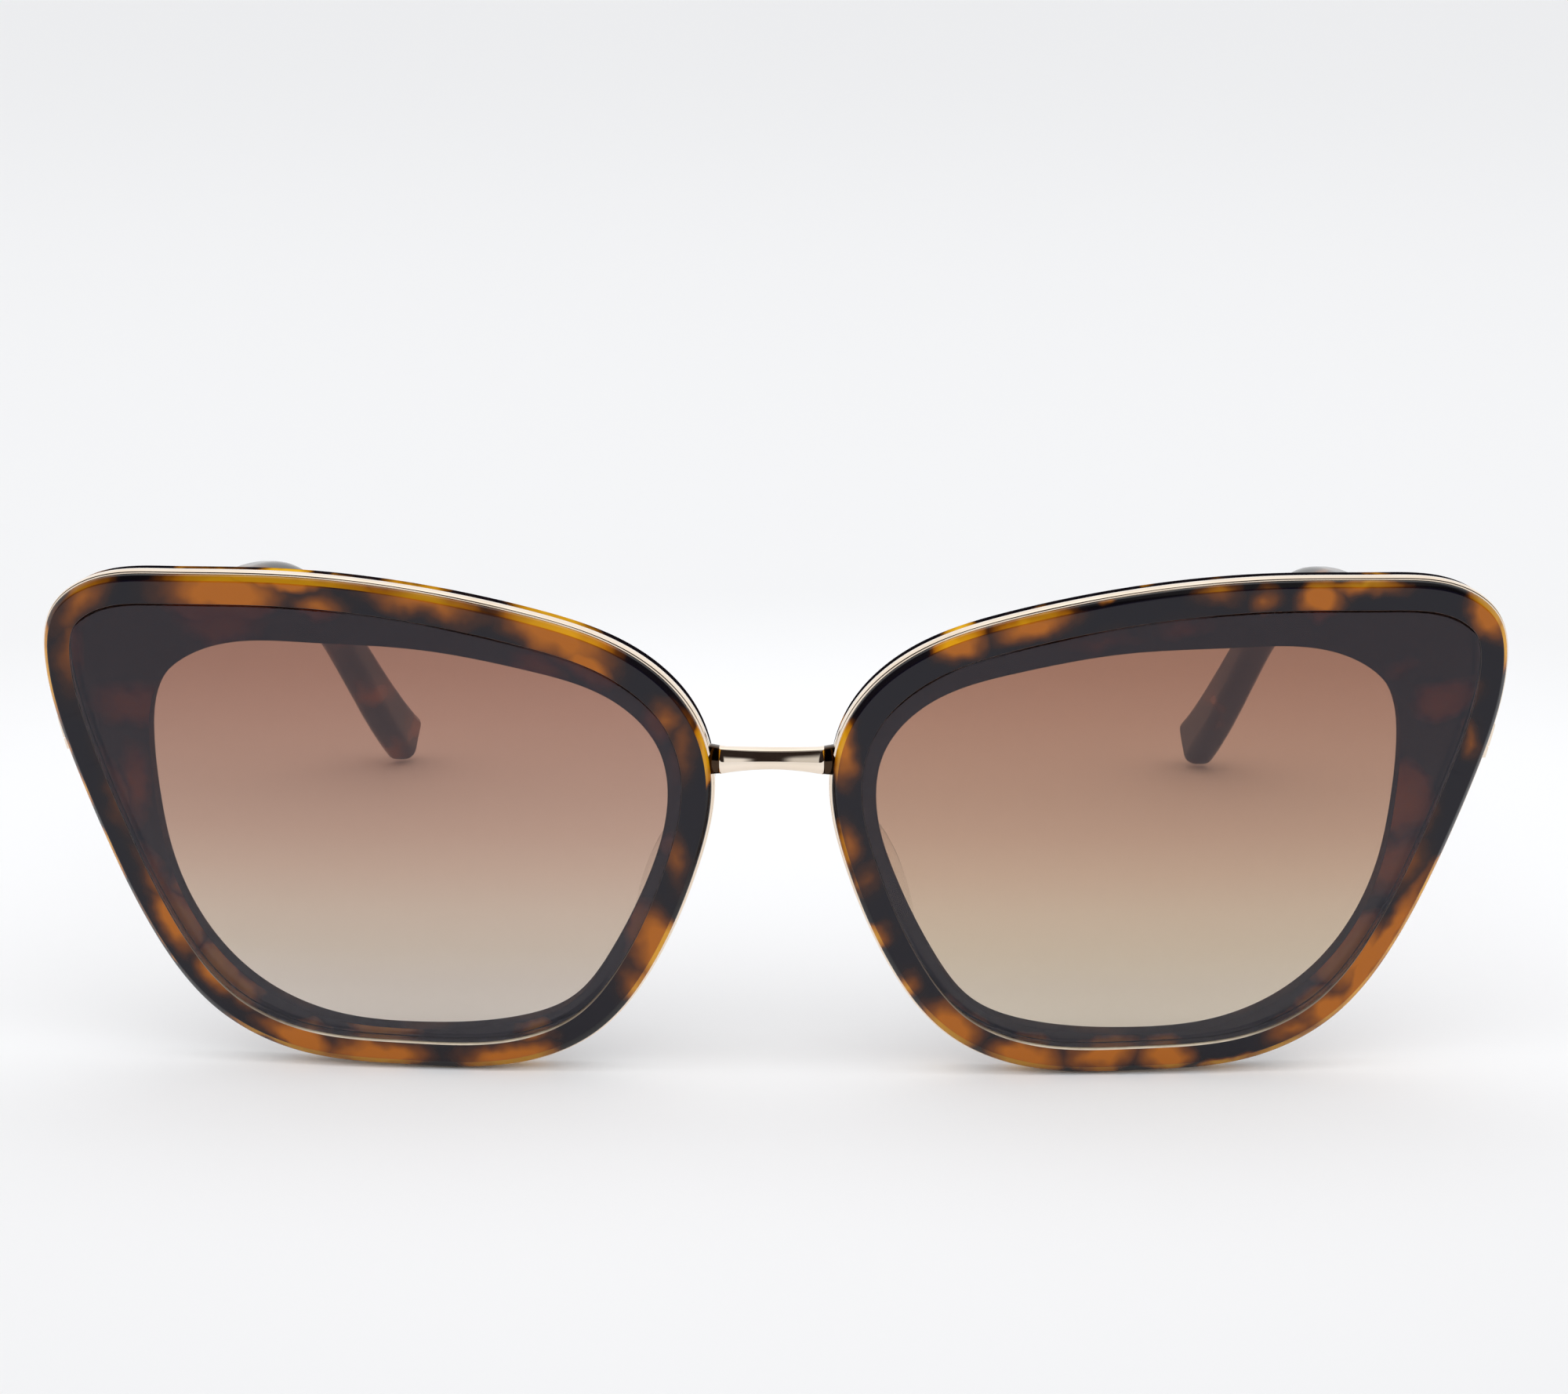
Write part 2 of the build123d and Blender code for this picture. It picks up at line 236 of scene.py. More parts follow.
def end_faces(n_rows, n_cols):
    """The two faces that close a tube whose section runs down the columns."""
    return [tuple(r * n_cols + c for r in range(n_rows)) for c in (0, n_cols - 1)]


def make_piece(name, verts, faces, materials, body, stands_for, marks=None, sharp=50):
    """A smooth-shaded mesh that rides on a body and stands in for CAD nodes."""
    mesh = bpy.data.meshes.new(name)
    mesh.from_pydata([tuple(v) for v in np.asarray(verts).reshape(-1, 3)], [], faces)
    if marks is not None:
        mesh.polygons.foreach_set("material_index", marks)
    bm = bmesh.new()
    bm.from_mesh(mesh)
    bmesh.ops.remove_doubles(bm, verts=bm.verts, dist=1e-7)
    bmesh.ops.recalc_face_normals(bm, faces=bm.faces)
    limit = math.radians(sharp)
    for edge in bm.edges:
        edge.smooth = edge.calc_face_angle(0) < limit
    for face in bm.faces:
        face.smooth = True
    bm.to_mesh(mesh)
    bm.free()
    obj = bpy.data.objects.new(name, mesh)
    bpy.context.scene.collection.objects.link(obj)
    for m in materials:
        mesh.materials.append(m)
    weigh = obj.modifiers.new("weighted", "WEIGHTED_NORMAL")
    weigh.keep_sharp = True
    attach(obj, body)
    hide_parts(*stands_for)


# ---------------------------------------------------------------- materials
def new_material(name):
    mat = bpy.data.materials.new(name)
    mat.use_nodes = True
    return mat, mat.node_tree.nodes["Principled BSDF"]


def node(mat, kind, **values):
    """A node with its sockets or settings given by name."""
    n = mat.node_tree.nodes.new(kind)
    for key, value in values.items():
        if key in n.inputs:
            n.inputs[key].default_value = value
        else:
            setattr(n, key, value)
    return n


def join(mat, a, b):
    mat.node_tree.links.new(a, b)


def object_place(mat):
    return node(mat, "ShaderNodeTexCoord").outputs["Object"]


def axes_of(mat, vector):
    n = node(mat, "ShaderNodeSeparateXYZ")
    join(mat, vector, n.inputs[0])
    return n.outputs


def scaled(mat, vector, share):
    n = node(mat, "ShaderNodeVectorMath", operation="SCALE")
    join(mat, vector, n.inputs[0])
    join(mat, share, n.inputs["Scale"])
    return n.outputs[0]


def ramp(mat, fac, stops):
    """A colour ramp: stops are (position, colour)."""
    n = node(mat, "ShaderNodeValToRGB")
    while len(n.color_ramp.elements) < len(stops):
        n.color_ramp.elements.new(0.5)
    for element, (position, colour) in zip(n.color_ramp.elements, stops):
        element.position = position
        element.color = (*colour, 1)
    join(mat, fac, n.inputs[0])
    return n.outputs[0]


def noise(mat, vector, scale, detail=3.0, roughness=0.5):
    n = node(mat, "ShaderNodeTexNoise", Scale=scale, Detail=detail, Roughness=roughness)
    join(mat, vector, n.inputs["Vector"])
    return n


def math_node(mat, operation, a, b):
    n = node(mat, "ShaderNodeMath", operation=operation)
    for slot, value in zip(n.inputs, (a, b)):
        if isinstance(value, (int, float)):
            slot.default_value = value
        else:
            join(mat, value, slot)
    return n.outputs[0]


def step_node(mat, value, low, high):
    """0 below low, 1 above high, smooth between."""
    n = node(mat, "ShaderNodeMapRange", interpolation_type="SMOOTHSTEP")
    n.inputs["From Min"].default_value = low
    n.inputs["From Max"].default_value = high
    join(mat, value, n.inputs["Value"])
    return n.outputs[0]


def centred(mat, value, size):
    """A noise value moved to lie about zero, and scaled."""
    return math_node(mat, "MULTIPLY", math_node(mat, "SUBTRACT", value, 0.5), size)


def uneven_roughness(mat, bsdf, cloud, low, high):
    n = node(mat, "ShaderNodeMapRange")
    n.inputs["To Min"].default_value = low
    n.inputs["To Max"].default_value = high
    join(mat, cloud.outputs["Fac"], n.inputs["Value"])
    join(mat, n.outputs[0], bsdf.inputs["Roughness"])


def bump(mat, bsdf, height, strength, distance):
    n = node(mat, "ShaderNodeBump", Strength=strength, Distance=distance)
    join(mat, height, n.inputs["Height"])
    join(mat, n.outputs[0], bsdf.inputs["Normal"])


# Amber patches in the acetate of each rim: across, up, half length, half width (mm), turn, strength.
PATCHES_LEFT = [
    (7, 33.5, 1.1, 2.6, 10, 1), (7, 23.5, 1.1, 2.3, 0, 0.6), (9, 20, 1.2, 1.5, 0, 0.4),
    (10, 13.5, 1.1, 1.8, -25, 1), (13, 9, 1.2, 1.5, -35, 0.6), (17.5, 5, 2.4, 1.8, -35, 1),
    (25, 2, 2.9, 1.4, -5, 1), (32.5, 2, 2.7, 1.3, 10, 1), (38.5, 2, 1.9, 1.4, 15, 1),
    (44.5, 1, 2.4, 0.5, 5, 1), (51, 4.5, 2.4, 1.3, 30, 0.6), (54, 6.5, 2.4, 1.5, 35, 1),
    (57, 12, 3.1, 2.1, 45, 1), (60.5, 21, 2.7, 2.1, 50, 0.6), (59, 12, 7.7, 1, 58, 1),
    (61, 27.5, 2.2, 2.6, 0, 0.9), (64.5, 37.5, 2.4, 1.6, 20, 0.9), (60, 41, 1.9, 1, 0, 0.3),
    (67.5, 33.5, 0.8, 1.5, 0, 0.5), (68.5, 46.5, 2.2, 1.4, -60, 1), (52, 48, 1.7, 1.4, 20, 1),
    (47, 48, 1.2, 1.3, 0, 0.6), (42.5, 48.5, 1.9, 1, 0, 0.5), (56, 49, 3.4, 0.7, 0, 0.7),
    (25, 45.5, 3.0, 1.1, 14, 0.9), (32.5, 49, 3.9, 0.6, 8, 0.9), (18, 44, 2.0, 1.3, 30, 1),
    (39, 45, 2.4, 1.2, 5, 0.4), (31.5, 44, 3.9, 0.9, 8, 0.3),
]
PATCHES_RIGHT = [
    (-66.5, 46.5, 3.6, 1.4, 50, 0.6), (-52.5, 48, 4.6, 2.1, 0, 1), (-56, 48.5, 1.9, 1.3, 0, 0.6),
    (-43, 47, 2.2, 1.1, -5, 0.7), (-46.5, 49.5, 5.8, 0.7, -2, 0.9), (-33, 47.5, 4.8, 1.3, -12, 0.8),
    (-20.5, 44.5, 4.8, 2, -28, 1), (-17.5, 41.5, 2.2, 1.5, -30, 1), (-10, 36, 1.7, 1.8, 0, 0.6),
    (-8.5, 33.5, 1.2, 3.0, -10, 0.45), (-9.5, 22, 1.1, 2.3, 10, 0.5), (-11, 13, 2.2, 3.1, 20, 1),
    (-13, 9, 1.4, 2.1, 20, 0.6), (-25.5, 1.5, 3.6, 1.3, 3, 1), (-23.5, 4, 1.7, 0.9, 0, 0.6),
    (-38.5, 1.5, 3.9, 1.3, -5, 1), (-38, 4, 2.9, 1, -5, 0.6), (-46.5, 3, 3.4, 1.1, -20, 1),
    (-52, 7.5, 1.9, 1.3, -35, 0.6), (-54.5, 9.5, 2.2, 1.3, -45, 1), (-58.5, 14.5, 1.4, 2.6, 35, 1),
    (-60, 18, 1, 3.6, 28, 0.5), (-64, 27.5, 1.1, 3.9, 20, 0.4), (-62, 28.5, 1.4, 3.1, 0, 0.5),
    (-62, 36.5, 3.6, 2, 0, 0.5), (-68, 41.5, 1.1, 3.2, -8, 0.5), (-52.5, 45, 3.4, 1.8, 0, 0.55),
    (-22.5, 41, 2.4, 1.3, -25, 0.5), (-57.5, 18, 1.9, 1.5, 0, 0.4),
]
# Amber along the outer chamfer only: painted highlights, the amber lit along the edge.
CHAMFER_LEFT = [
    (63.3, 16.5, 0.9, 5.5, -25, 1), (57.5, 7.3, 0.9, 4.5, -42, 1), (50.5, 2.3, 0.9, 3.6, -62, 0.9),
    (70.4, 43.5, 0.8, 2.6, -4, 1),
]
CHAMFER_RIGHT = [
    (-66.0, 22.5, 0.9, 9.5, 22, 1), (-45.5, 1.3, 3.8, 0.8, -10, 0.9), (-70.3, 40.5, 0.8, 4.5, 8, 1),
    (-6.6, 32.0, 0.7, 3.6, -8, 1), (-47.5, 49.3, 8.8, 0.9, -6, 1), (-58.3, 11.8, 0.9, 4.6, 37, 1),
    (-48.5, 2.6, 4.2, 0.8, -18, 1),
]
FACE_STOPS = [
    (0.0, (0.004, 0.003, 0.008)), (0.18, (0.008, 0.004, 0.007)), (0.40, (0.040, 0.012, 0.006)),
    (0.65, (0.150, 0.040, 0.004)), (1.0, (0.400, 0.112, 0.003)),
]
# Chamfer colours: a lit copy of the tortoise colours, painted light where the amber glows along the edge.
EDGE_STOPS = [
    (0.0, (0.005, 0.004, 0.006)), (0.16, (0.010, 0.006, 0.007)), (0.32, (0.100, 0.028, 0.004)),
    (0.52, (0.400, 0.130, 0.003)), (1.0, (0.700, 0.320, 0.006)),
]
# The strip behind the wire, which sees the brightest light: a painted highlight, a brighter copy of the
# tortoise colours.
REAR_STOPS = [
    (0.0, (0.005, 0.004, 0.006)), (0.16, (0.010, 0.006, 0.007)), (0.32, (0.150, 0.050, 0.004)),
    (0.52, (0.450, 0.190, 0.006)), (1.0, (0.780, 0.420, 0.020)),
]
# Behind the lens the patches glow with light that comes through the acetate: a painted glow, a brighter copy
# of the tortoise colours.
SHELF_STOPS = [
    (0.0, (0.008, 0.008, 0.012)), (0.16, (0.022, 0.015, 0.012)), (0.34, (0.260, 0.095, 0.022)),
    (0.55, (0.720, 0.290, 0.040)), (1.0, (0.960, 0.460, 0.060)),
]
PATCH_GAIN = 1.45       # over 1, so that a patch has a plain middle
PATCH_DEEP = 40.0       # patches run right through the acetate
PATCH_DRIFT = 3.2       # how far the patches' edges wander
PATCH_FUZZ = 0.10


def tortoise(name, patches, stops, shine=0.36, spread=1.95, chamfer=False):
    """Polished tortoiseshell acetate: near black, with soft amber patches laid out as listed."""
    mat, bsdf = new_material(name)
    coords = object_place(mat)
    wander = noise(mat, coords, 260.0, 2.0)
    about_zero = node(mat, "ShaderNodeVectorMath", operation="SUBTRACT")
    join(mat, wander.outputs["Color"], about_zero.inputs[0])
    about_zero.inputs[1].default_value = (0.5, 0.5, 0.5)
    drift = node(mat, "ShaderNodeVectorMath", operation="SCALE", Scale=PATCH_DRIFT * MM)
    join(mat, about_zero.outputs[0], drift.inputs[0])
    moved = node(mat, "ShaderNodeVectorMath", operation="ADD")
    join(mat, coords, moved.inputs[0])
    join(mat, drift.outputs[0], moved.inputs[1])
    best = None
    for across, up, long, wide, turn, strength in patches:
        place = node(mat, "ShaderNodeMapping", vector_type="TEXTURE")
        place.inputs["Location"].default_value = (across * MM, FRONT_Y * MM, up * MM)
        place.inputs["Rotation"].default_value = (0, -math.radians(turn), 0)
        place.inputs["Scale"].default_value = (long * spread * MM, PATCH_DEEP * MM, wide * spread * MM)
        join(mat, moved.outputs[0], place.inputs["Vector"])
        ball = node(mat, "ShaderNodeTexGradient", gradient_type="SPHERICAL")
        join(mat, place.outputs[0], ball.inputs[0])
        value = math_node(mat, "MULTIPLY", ball.outputs["Fac"], PATCH_GAIN * strength)
        best = value if best is None else math_node(mat, "MAXIMUM", best, value)
    fine = noise(mat, coords, 900.0, 4.0, 0.6)
    fuzz = centred(mat, fine.outputs["Fac"], PATCH_FUZZ)
    best = math_node(mat, "MINIMUM", math_node(mat, "ADD", best, fuzz), 1.0)
    colour = ramp(mat, best, stops)
    # On the chamfer, painted shade dims the colour along the bottom and the top.
    if chamfer:
        colour = scaled(mat, colour, chamfer_painted_shade(mat, axes_of(mat, coords)["Z"]))
    join(mat, colour, bsdf.inputs["Base Color"])
    polish(mat, bsdf, coords, 0.10, shine)
    return mat


def chamfer_painted_shade(mat, height):
    """Painted shade on the chamfer: its colour is dimmed along the bottom and along the top, more than up
    the sides.
    """
    climb = math_node(mat, "MULTIPLY", step_node(mat, height, 3 * MM, 9 * MM), 0.40)
    crown = math_node(mat, "MULTIPLY", step_node(mat, height, 43 * MM, 48 * MM), 0.42)
    low_share = math_node(mat, "ADD", climb, 0.60)
    return math_node(mat, "MULTIPLY", low_share, math_node(mat, "SUBTRACT", 1, crown))


def polish(mat, bsdf, coords, roughness, shine=0.36):
    """Polished plastic: low roughness with faint smears, and a slight ripple."""
    uneven_roughness(mat, bsdf, noise(mat, coords, 60.0, 3.0), roughness * 0.75, roughness * 1.35)
    bsdf.inputs["IOR"].default_value = 1.49
    bsdf.inputs["Specular IOR Level"].default_value = shine
    ripple = noise(mat, coords, 350.0, 2.0)
    bump(mat, bsdf, ripple.outputs["Fac"], 0.04, 0.0001)


def wall_acetate():
    """The cut walls round the opening: satin, near black with a trace of brown."""
    mat, bsdf = new_material("rim_wall")
    coords = object_place(mat)
    cloud = noise(mat, coords, 140.0, 2.0, 0.45)
    colour = ramp(mat, cloud.outputs["Fac"], [(0.45, (0.010, 0.009, 0.009)), (0.62, (0.075, 0.034, 0.014))])
    join(mat, colour, bsdf.inputs["Base Color"])
    bsdf.inputs["Roughness"].default_value = 0.5
    bsdf.inputs["Specular IOR Level"].default_value = 0.0
    return mat


def groove_line():
    """Seam between lip and lens, with painted reflection: a pale glint along the bottom, where the seam
    faces up into the light, dark higher up.
    """
    mat, bsdf = new_material("rim_groove")
    coords = object_place(mat)
    height = math_node(mat, "DIVIDE", axes_of(mat, coords)["Z"], 20 * MM)
    # painted reflection: pale cream glint low down, dark grey seam higher up
    stops = [
        (0.0, (0.78, 0.69, 0.54)), (0.14, (0.74, 0.64, 0.49)), (0.24, (0.28, 0.22, 0.16)),
        (0.75, (0.120, 0.090, 0.075)), (1.0, (0.100, 0.085, 0.080)),
    ]
    wave = centred(mat, noise(mat, coords, 500.0, 3.0).outputs["Fac"], 0.12)
    join(mat, ramp(mat, math_node(mat, "ADD", height, wave), stops), bsdf.inputs["Base Color"])
    bsdf.inputs["Roughness"].default_value = 0.3
    return mat


def temple_acetate():
    """Tortoiseshell of the temples: larger, softer patches than the rims'."""
    mat, bsdf = new_material("temple_tortoise")
    coords = object_place(mat)
    stretch = node(mat, "ShaderNodeMapping")
    stretch.inputs["Scale"].default_value = (1.0, 0.55, 1.0)
    join(mat, coords, stretch.inputs["Vector"])
    blotch = noise(mat, stretch.outputs[0], 150.0, 2.0, 0.45)
    colour = ramp(mat, blotch.outputs["Fac"], [
        (0.0, (0.007, 0.007, 0.010)), (0.47, (0.010, 0.008, 0.009)), (0.53, (0.050, 0.020, 0.010)),
        (0.60, (0.200, 0.065, 0.010)), (1.0, (0.420, 0.150, 0.012)),
    ])
    join(mat, colour, bsdf.inputs["Base Color"])
    polish(mat, bsdf, coords, 0.12)
    return mat


def metal(name, colour, dark, roughness, grain=220.0):
    """Polished or brushed metal with faint tarnish."""
    mat, bsdf = new_material(name)
    coords = object_place(mat)
    tone = noise(mat, coords, grain, 4.0)
    join(mat, ramp(mat, tone.outputs["Fac"], [(0.3, dark), (0.6, colour)]), bsdf.inputs["Base Color"])
    bsdf.inputs["Metallic"].default_value = 1.0
    uneven_roughness(mat, bsdf, noise(mat, coords, grain * 3, 2.0), roughness * 0.7, roughness * 1.4)
    return mat


def painted_dark_ends(mat):
    """The bridge's turned-back ends beside the rims are painted dark: a painted reflection of the rims' dark
    sides.
    """
    bsdf = mat.node_tree.nodes["Principled BSDF"]
    plain = bsdf.inputs["Base Color"].links[0].from_socket
    coords = object_place(mat)
    off_middle = math_node(mat, "ABSOLUTE", axes_of(mat, coords)["X"], 0)
    off = step_node(mat, off_middle, 4.98 * MM, 5.06 * MM)
    mix = node(mat, "ShaderNodeMix", data_type="RGBA")
    join(mat, off, mix.inputs["Factor"])
    join(mat, plain, mix.inputs["A"])
    # painted reflection: the dark brown the ends show beside the rims
    mix.inputs["B"].default_value = (0.060, 0.036, 0.022, 1)
    join(mat, mix.outputs["Result"], bsdf.inputs["Base Color"])
    return mat


# What the lens lets through, by height. The gloss of its two faces takes the share in LENS_LOSS.
TINT = [
    (0.0, (0.700, 0.640, 0.575)), (6.0, (0.655, 0.585, 0.513)), (9.0, (0.575, 0.498, 0.428)),
    (12.6, (0.527, 0.435, 0.350)), (16.6, (0.500, 0.385, 0.300)), (20.6, (0.459, 0.320, 0.240)),
    (24.6, (0.410, 0.262, 0.192)), (28.6, (0.370, 0.222, 0.160)), (36.6, (0.325, 0.170, 0.118)),
    (41.0, (0.296, 0.143, 0.095)), (50.0, (0.260, 0.115, 0.072)),
]
LENS_LOSS = 0.07


def lens_glass(name, warmth):
    """Tinted lens: a gradient from brown at the top to pale beige at the bottom."""
    mat, bsdf = new_material(name)
    coords = object_place(mat)
    top = TINT[-1][0]
    height = math_node(mat, "DIVIDE", axes_of(mat, coords)["Z"], top * MM)
    stops = [(z / top, tuple(c * w / (1 - LENS_LOSS) for c, w in zip(rgb, warmth))) for z, rgb in TINT]
    join(mat, ramp(mat, height, stops), bsdf.inputs["Base Color"])
    bsdf.inputs["Transmission Weight"].default_value = 1.0
    bsdf.inputs["Roughness"].default_value = 0.0
    bsdf.inputs["IOR"].default_value = 1.5
    bsdf.inputs["Specular IOR Level"].default_value = 0.2
    bsdf.inputs["Specular Tint"].default_value = (0.84, 0.84, 1.0, 1)
    return mat


def clear_plastic():
    """The pads: clear, faintly cloudy."""
    mat, bsdf = new_material("clear_pad")
    coords = object_place(mat)
    cloud = noise(mat, coords, 300.0, 3.0)
    stops = [(0.3, (0.93, 0.92, 0.89)), (0.7, (0.97, 0.965, 0.95))]
    join(mat, ramp(mat, cloud.outputs["Fac"], stops), bsdf.inputs["Base Color"])
    bsdf.inputs["Transmission Weight"].default_value = 1.0
    bsdf.inputs["Roughness"].default_value = 0.08
    bsdf.inputs["IOR"].default_value = 1.46
    return mat


gold = metal("pale_gold", (0.93, 0.80, 0.66), (0.88, 0.73, 0.57), 0.07)
bridge_gold = painted_dark_ends(metal("bridge_gold", (0.95, 0.83, 0.70), (0.90, 0.77, 0.62), 0.05))
steel = metal("screw_steel", (0.72, 0.70, 0.66), (0.55, 0.53, 0.50), 0.25)
core_metal = metal("core_metal", (0.70, 0.67, 0.60), (0.60, 0.57, 0.52), 0.35)
face_left = tortoise("rim_face_left", PATCHES_LEFT, FACE_STOPS)
edge_left = tortoise("rim_edge_left", PATCHES_LEFT + CHAMFER_LEFT, EDGE_STOPS, spread=1.8, chamfer=True)
face_right = tortoise("rim_face_right", PATCHES_RIGHT, FACE_STOPS)
edge_right = tortoise("rim_edge_right", PATCHES_RIGHT + CHAMFER_RIGHT, EDGE_STOPS, spread=1.8, chamfer=True)
wall_dark = wall_acetate()
groove_painted_glint = groove_line()
rear_left = tortoise("rim_rear_left", PATCHES_LEFT, REAR_STOPS, 0.0, spread=1.4)
rear_right = tortoise("rim_rear_right", PATCHES_RIGHT, REAR_STOPS, 0.0, spread=1.4)
shelf_left = tortoise("rim_shelf_left", PATCHES_LEFT, SHELF_STOPS, 0.05, spread=1.8)
shelf_right = tortoise("rim_shelf_right", PATCHES_RIGHT, SHELF_STOPS, 0.05, spread=1.8)
temple_tortoise = temple_acetate()
glass_left = lens_glass("lens_tint_left", (1.0, 0.98, 0.90))
glass_right = lens_glass("lens_tint_right", (1.0, 1.0, 1.0))
clear = clear_plastic()
washer = metal("washer_plastic", (0.80, 0.79, 0.75), (0.70, 0.69, 0.66), 0.4)
washer.node_tree.nodes["Principled BSDF"].inputs["Metallic"].default_value = 0.0


# ---------------------------------------------------------------- rims
def name_of(node_name, side):
    return node_name + ("_left" if side > 0 else "_right")


def smooth_step(x, low, high):
    """0 below low, 1 above high, smooth between."""
    t = np.clip((x - low) / (high - low), 0, 1)
    return t * t * (3 - 2 * t)


FACE, EDGE, WALL, GROOVE, SHELF, REAR = 0, 1, 2, 3, 4, 5


def make_rim(name, side):
    """Acetate rim: lip, chamfer, wire groove, lens seat and opening, as one section led round."""
    marks_at = [height_on_temple_side(h) for h in NOTCH]
    at = np.linspace(0, ROUND, STEPS_ROUND, endpoint=False)
    step_wide = 0.02
    extra = [mark + sign * step_wide for mark in marks_at for sign in (-1, 1)]
    at = np.sort(np.concatenate([at, extra]))
    p, inward = outline_at(at)
    in_notch = (at > marks_at[0]) & (at < marks_at[1])
    cut = np.where(in_notch, NOTCH_DEEP, 0.0)[:, None]
    facing_down = smooth_step(inward[:, 1], 0.35, 0.95)[:, None]
    bevel = 0.5 + 0.25 * facing_down
    groove = 0.03 + 0.22 * facing_down

    def at_inset(inset, depth):
        return lift(p + inward * inset, depth)

    seat = p + inward * LENS_INSET
    hole = opening_for(seat)
    hole_in = unit(seat - hole)
    corners = [
        (at_inset(cut, RIM_THICK - 0.45), 0, REAR),
        (at_inset(cut, GROOVE_BACK), 0.08, FACE),
        (at_inset(np.maximum(cut, GROOVE_DEEP), GROOVE_BACK), 0, FACE),
        (at_inset(GROOVE_DEEP, LIP_THICK), 0, FACE),
        (at_inset(0.0, LIP_THICK), 0.07, EDGE),
        (at_inset(0.0, CHAMFER_DEEP), 0.12, EDGE),
        (at_inset(bevel, 0.0), 0.10, FACE),
        (at_inset(LENS_INSET - groove, 0.0), 0, GROOVE),
        (at_inset(LENS_INSET, groove[:, 0]), 0, WALL),
        (at_inset(LENS_INSET, LENS_THICK), 0, SHELF),
        (lift(hole, LENS_THICK), 0.06, WALL),
        (lift(hole, RIM_THICK - 0.4), 0.15, FACE),
        (lift(hole + hole_in * 0.4, RIM_THICK), 0.15, FACE),
        (at_inset(cut + 0.5, RIM_THICK), 0.2, FACE),
    ]
    rows, marks = rounded(corners)
    n_rows, n_cols = rows.shape[:2]
    face_marks = [marks[r] for r in range(n_rows) for _ in range(n_cols)]
    mats = [face_left, edge_left] if side > 0 else [face_right, edge_right]
    mats += [wall_dark, groove_painted_glint]
    mats += [shelf_left, rear_left] if side > 0 else [shelf_right, rear_right]
    make_piece(
        name, rim_place(rows, side), grid_faces(n_rows, n_cols, True, True), mats,
        "front", [name_of("rim", side)], face_marks,
    )


def make_wire(name, side):
    """Metal band in the rim's groove, split on the temple side."""
    start = height_on_temple_side(WIRE_SPLIT[1])
    end = height_on_temple_side(WIRE_SPLIT[0]) + ROUND
    at = np.linspace(start, end, STEPS_ROUND)
    p, inward = outline_at(at)
    near, far = LIP_THICK + WIRE_GAP, GROOVE_BACK - WIRE_GAP
    middle = (near + far) / 2

    def at_inset(inset, depth):
        return lift(p + inward * inset, depth)

    corners = [
        (at_inset(GROOVE_DEEP - WIRE_GAP, near), 0, 0),
        (at_inset(-WIRE_PROUD + 0.05, near), 0.12, 0),
        (at_inset(-WIRE_PROUD, middle), 0, 0),
        (at_inset(-WIRE_PROUD + 0.05, far), 0.12, 0),
        (at_inset(GROOVE_DEEP - WIRE_GAP, far), 0, 0),
    ]
    rows, _ = rounded(corners)
    n_rows, n_cols = rows.shape[:2]
    faces = grid_faces(n_rows, n_cols, True, False)
    faces += end_faces(n_rows, n_cols)
    make_piece(
        name, rim_place(rows, side), faces, [gold], "front", [name_of("rim_wire", side)]
    )


def make_lens(name, side):
    """Tinted lens, flush with the lip in front and just off its seat behind."""
    at = np.linspace(0, ROUND, STEPS_ROUND, endpoint=False)
    p, inward = outline_at(at)
    rim_line = p + inward * (LENS_INSET + LENS_SIDE_GAP)
    inner = [1.0, 0.985, 0.96, 0.92, 0.86, 0.78, 0.68, 0.56, 0.43, 0.29, 0.14]
    rows = [lift(CENTRE + (rim_line - CENTRE) * t, 0.0) for t in reversed(inner)]
    back = LENS_THICK - LENS_BACK_GAP
    edge = [(0.03, 0.0), (0.0, 0.03), (0.0, LENS_THICK - 0.25), (0.12, back)]
    rows[-1] = lift(rim_line + inward * edge[0][0], edge[0][1])
    rows += [lift(rim_line + inward * inset, depth) for inset, depth in edge[1:]]
    rows += [lift(CENTRE + (rim_line - CENTRE) * t, back) for t in inner[1:]]
    rows = np.array(rows)
    n_rows, n_cols = rows.shape[:2]
    faces = grid_faces(n_rows, n_cols, False, True)
    verts = list(rows.reshape(-1, 3))
    verts += [np.array([CENTRE[0], 0.0, CENTRE[1]]), np.array([CENTRE[0], back, CENTRE[1]])]
    first, last = len(verts) - 2, len(verts) - 1
    for c in range(n_cols):
        c2 = (c + 1) % n_cols
        faces.append((first, c, c2))
        faces.append((last, (n_rows - 1) * n_cols + c2, (n_rows - 1) * n_cols + c))
    make_piece(
        name, rim_place(np.array(verts), side), faces, [glass_left if side > 0 else glass_right],
        "front", [name_of("lens", side)],
    )


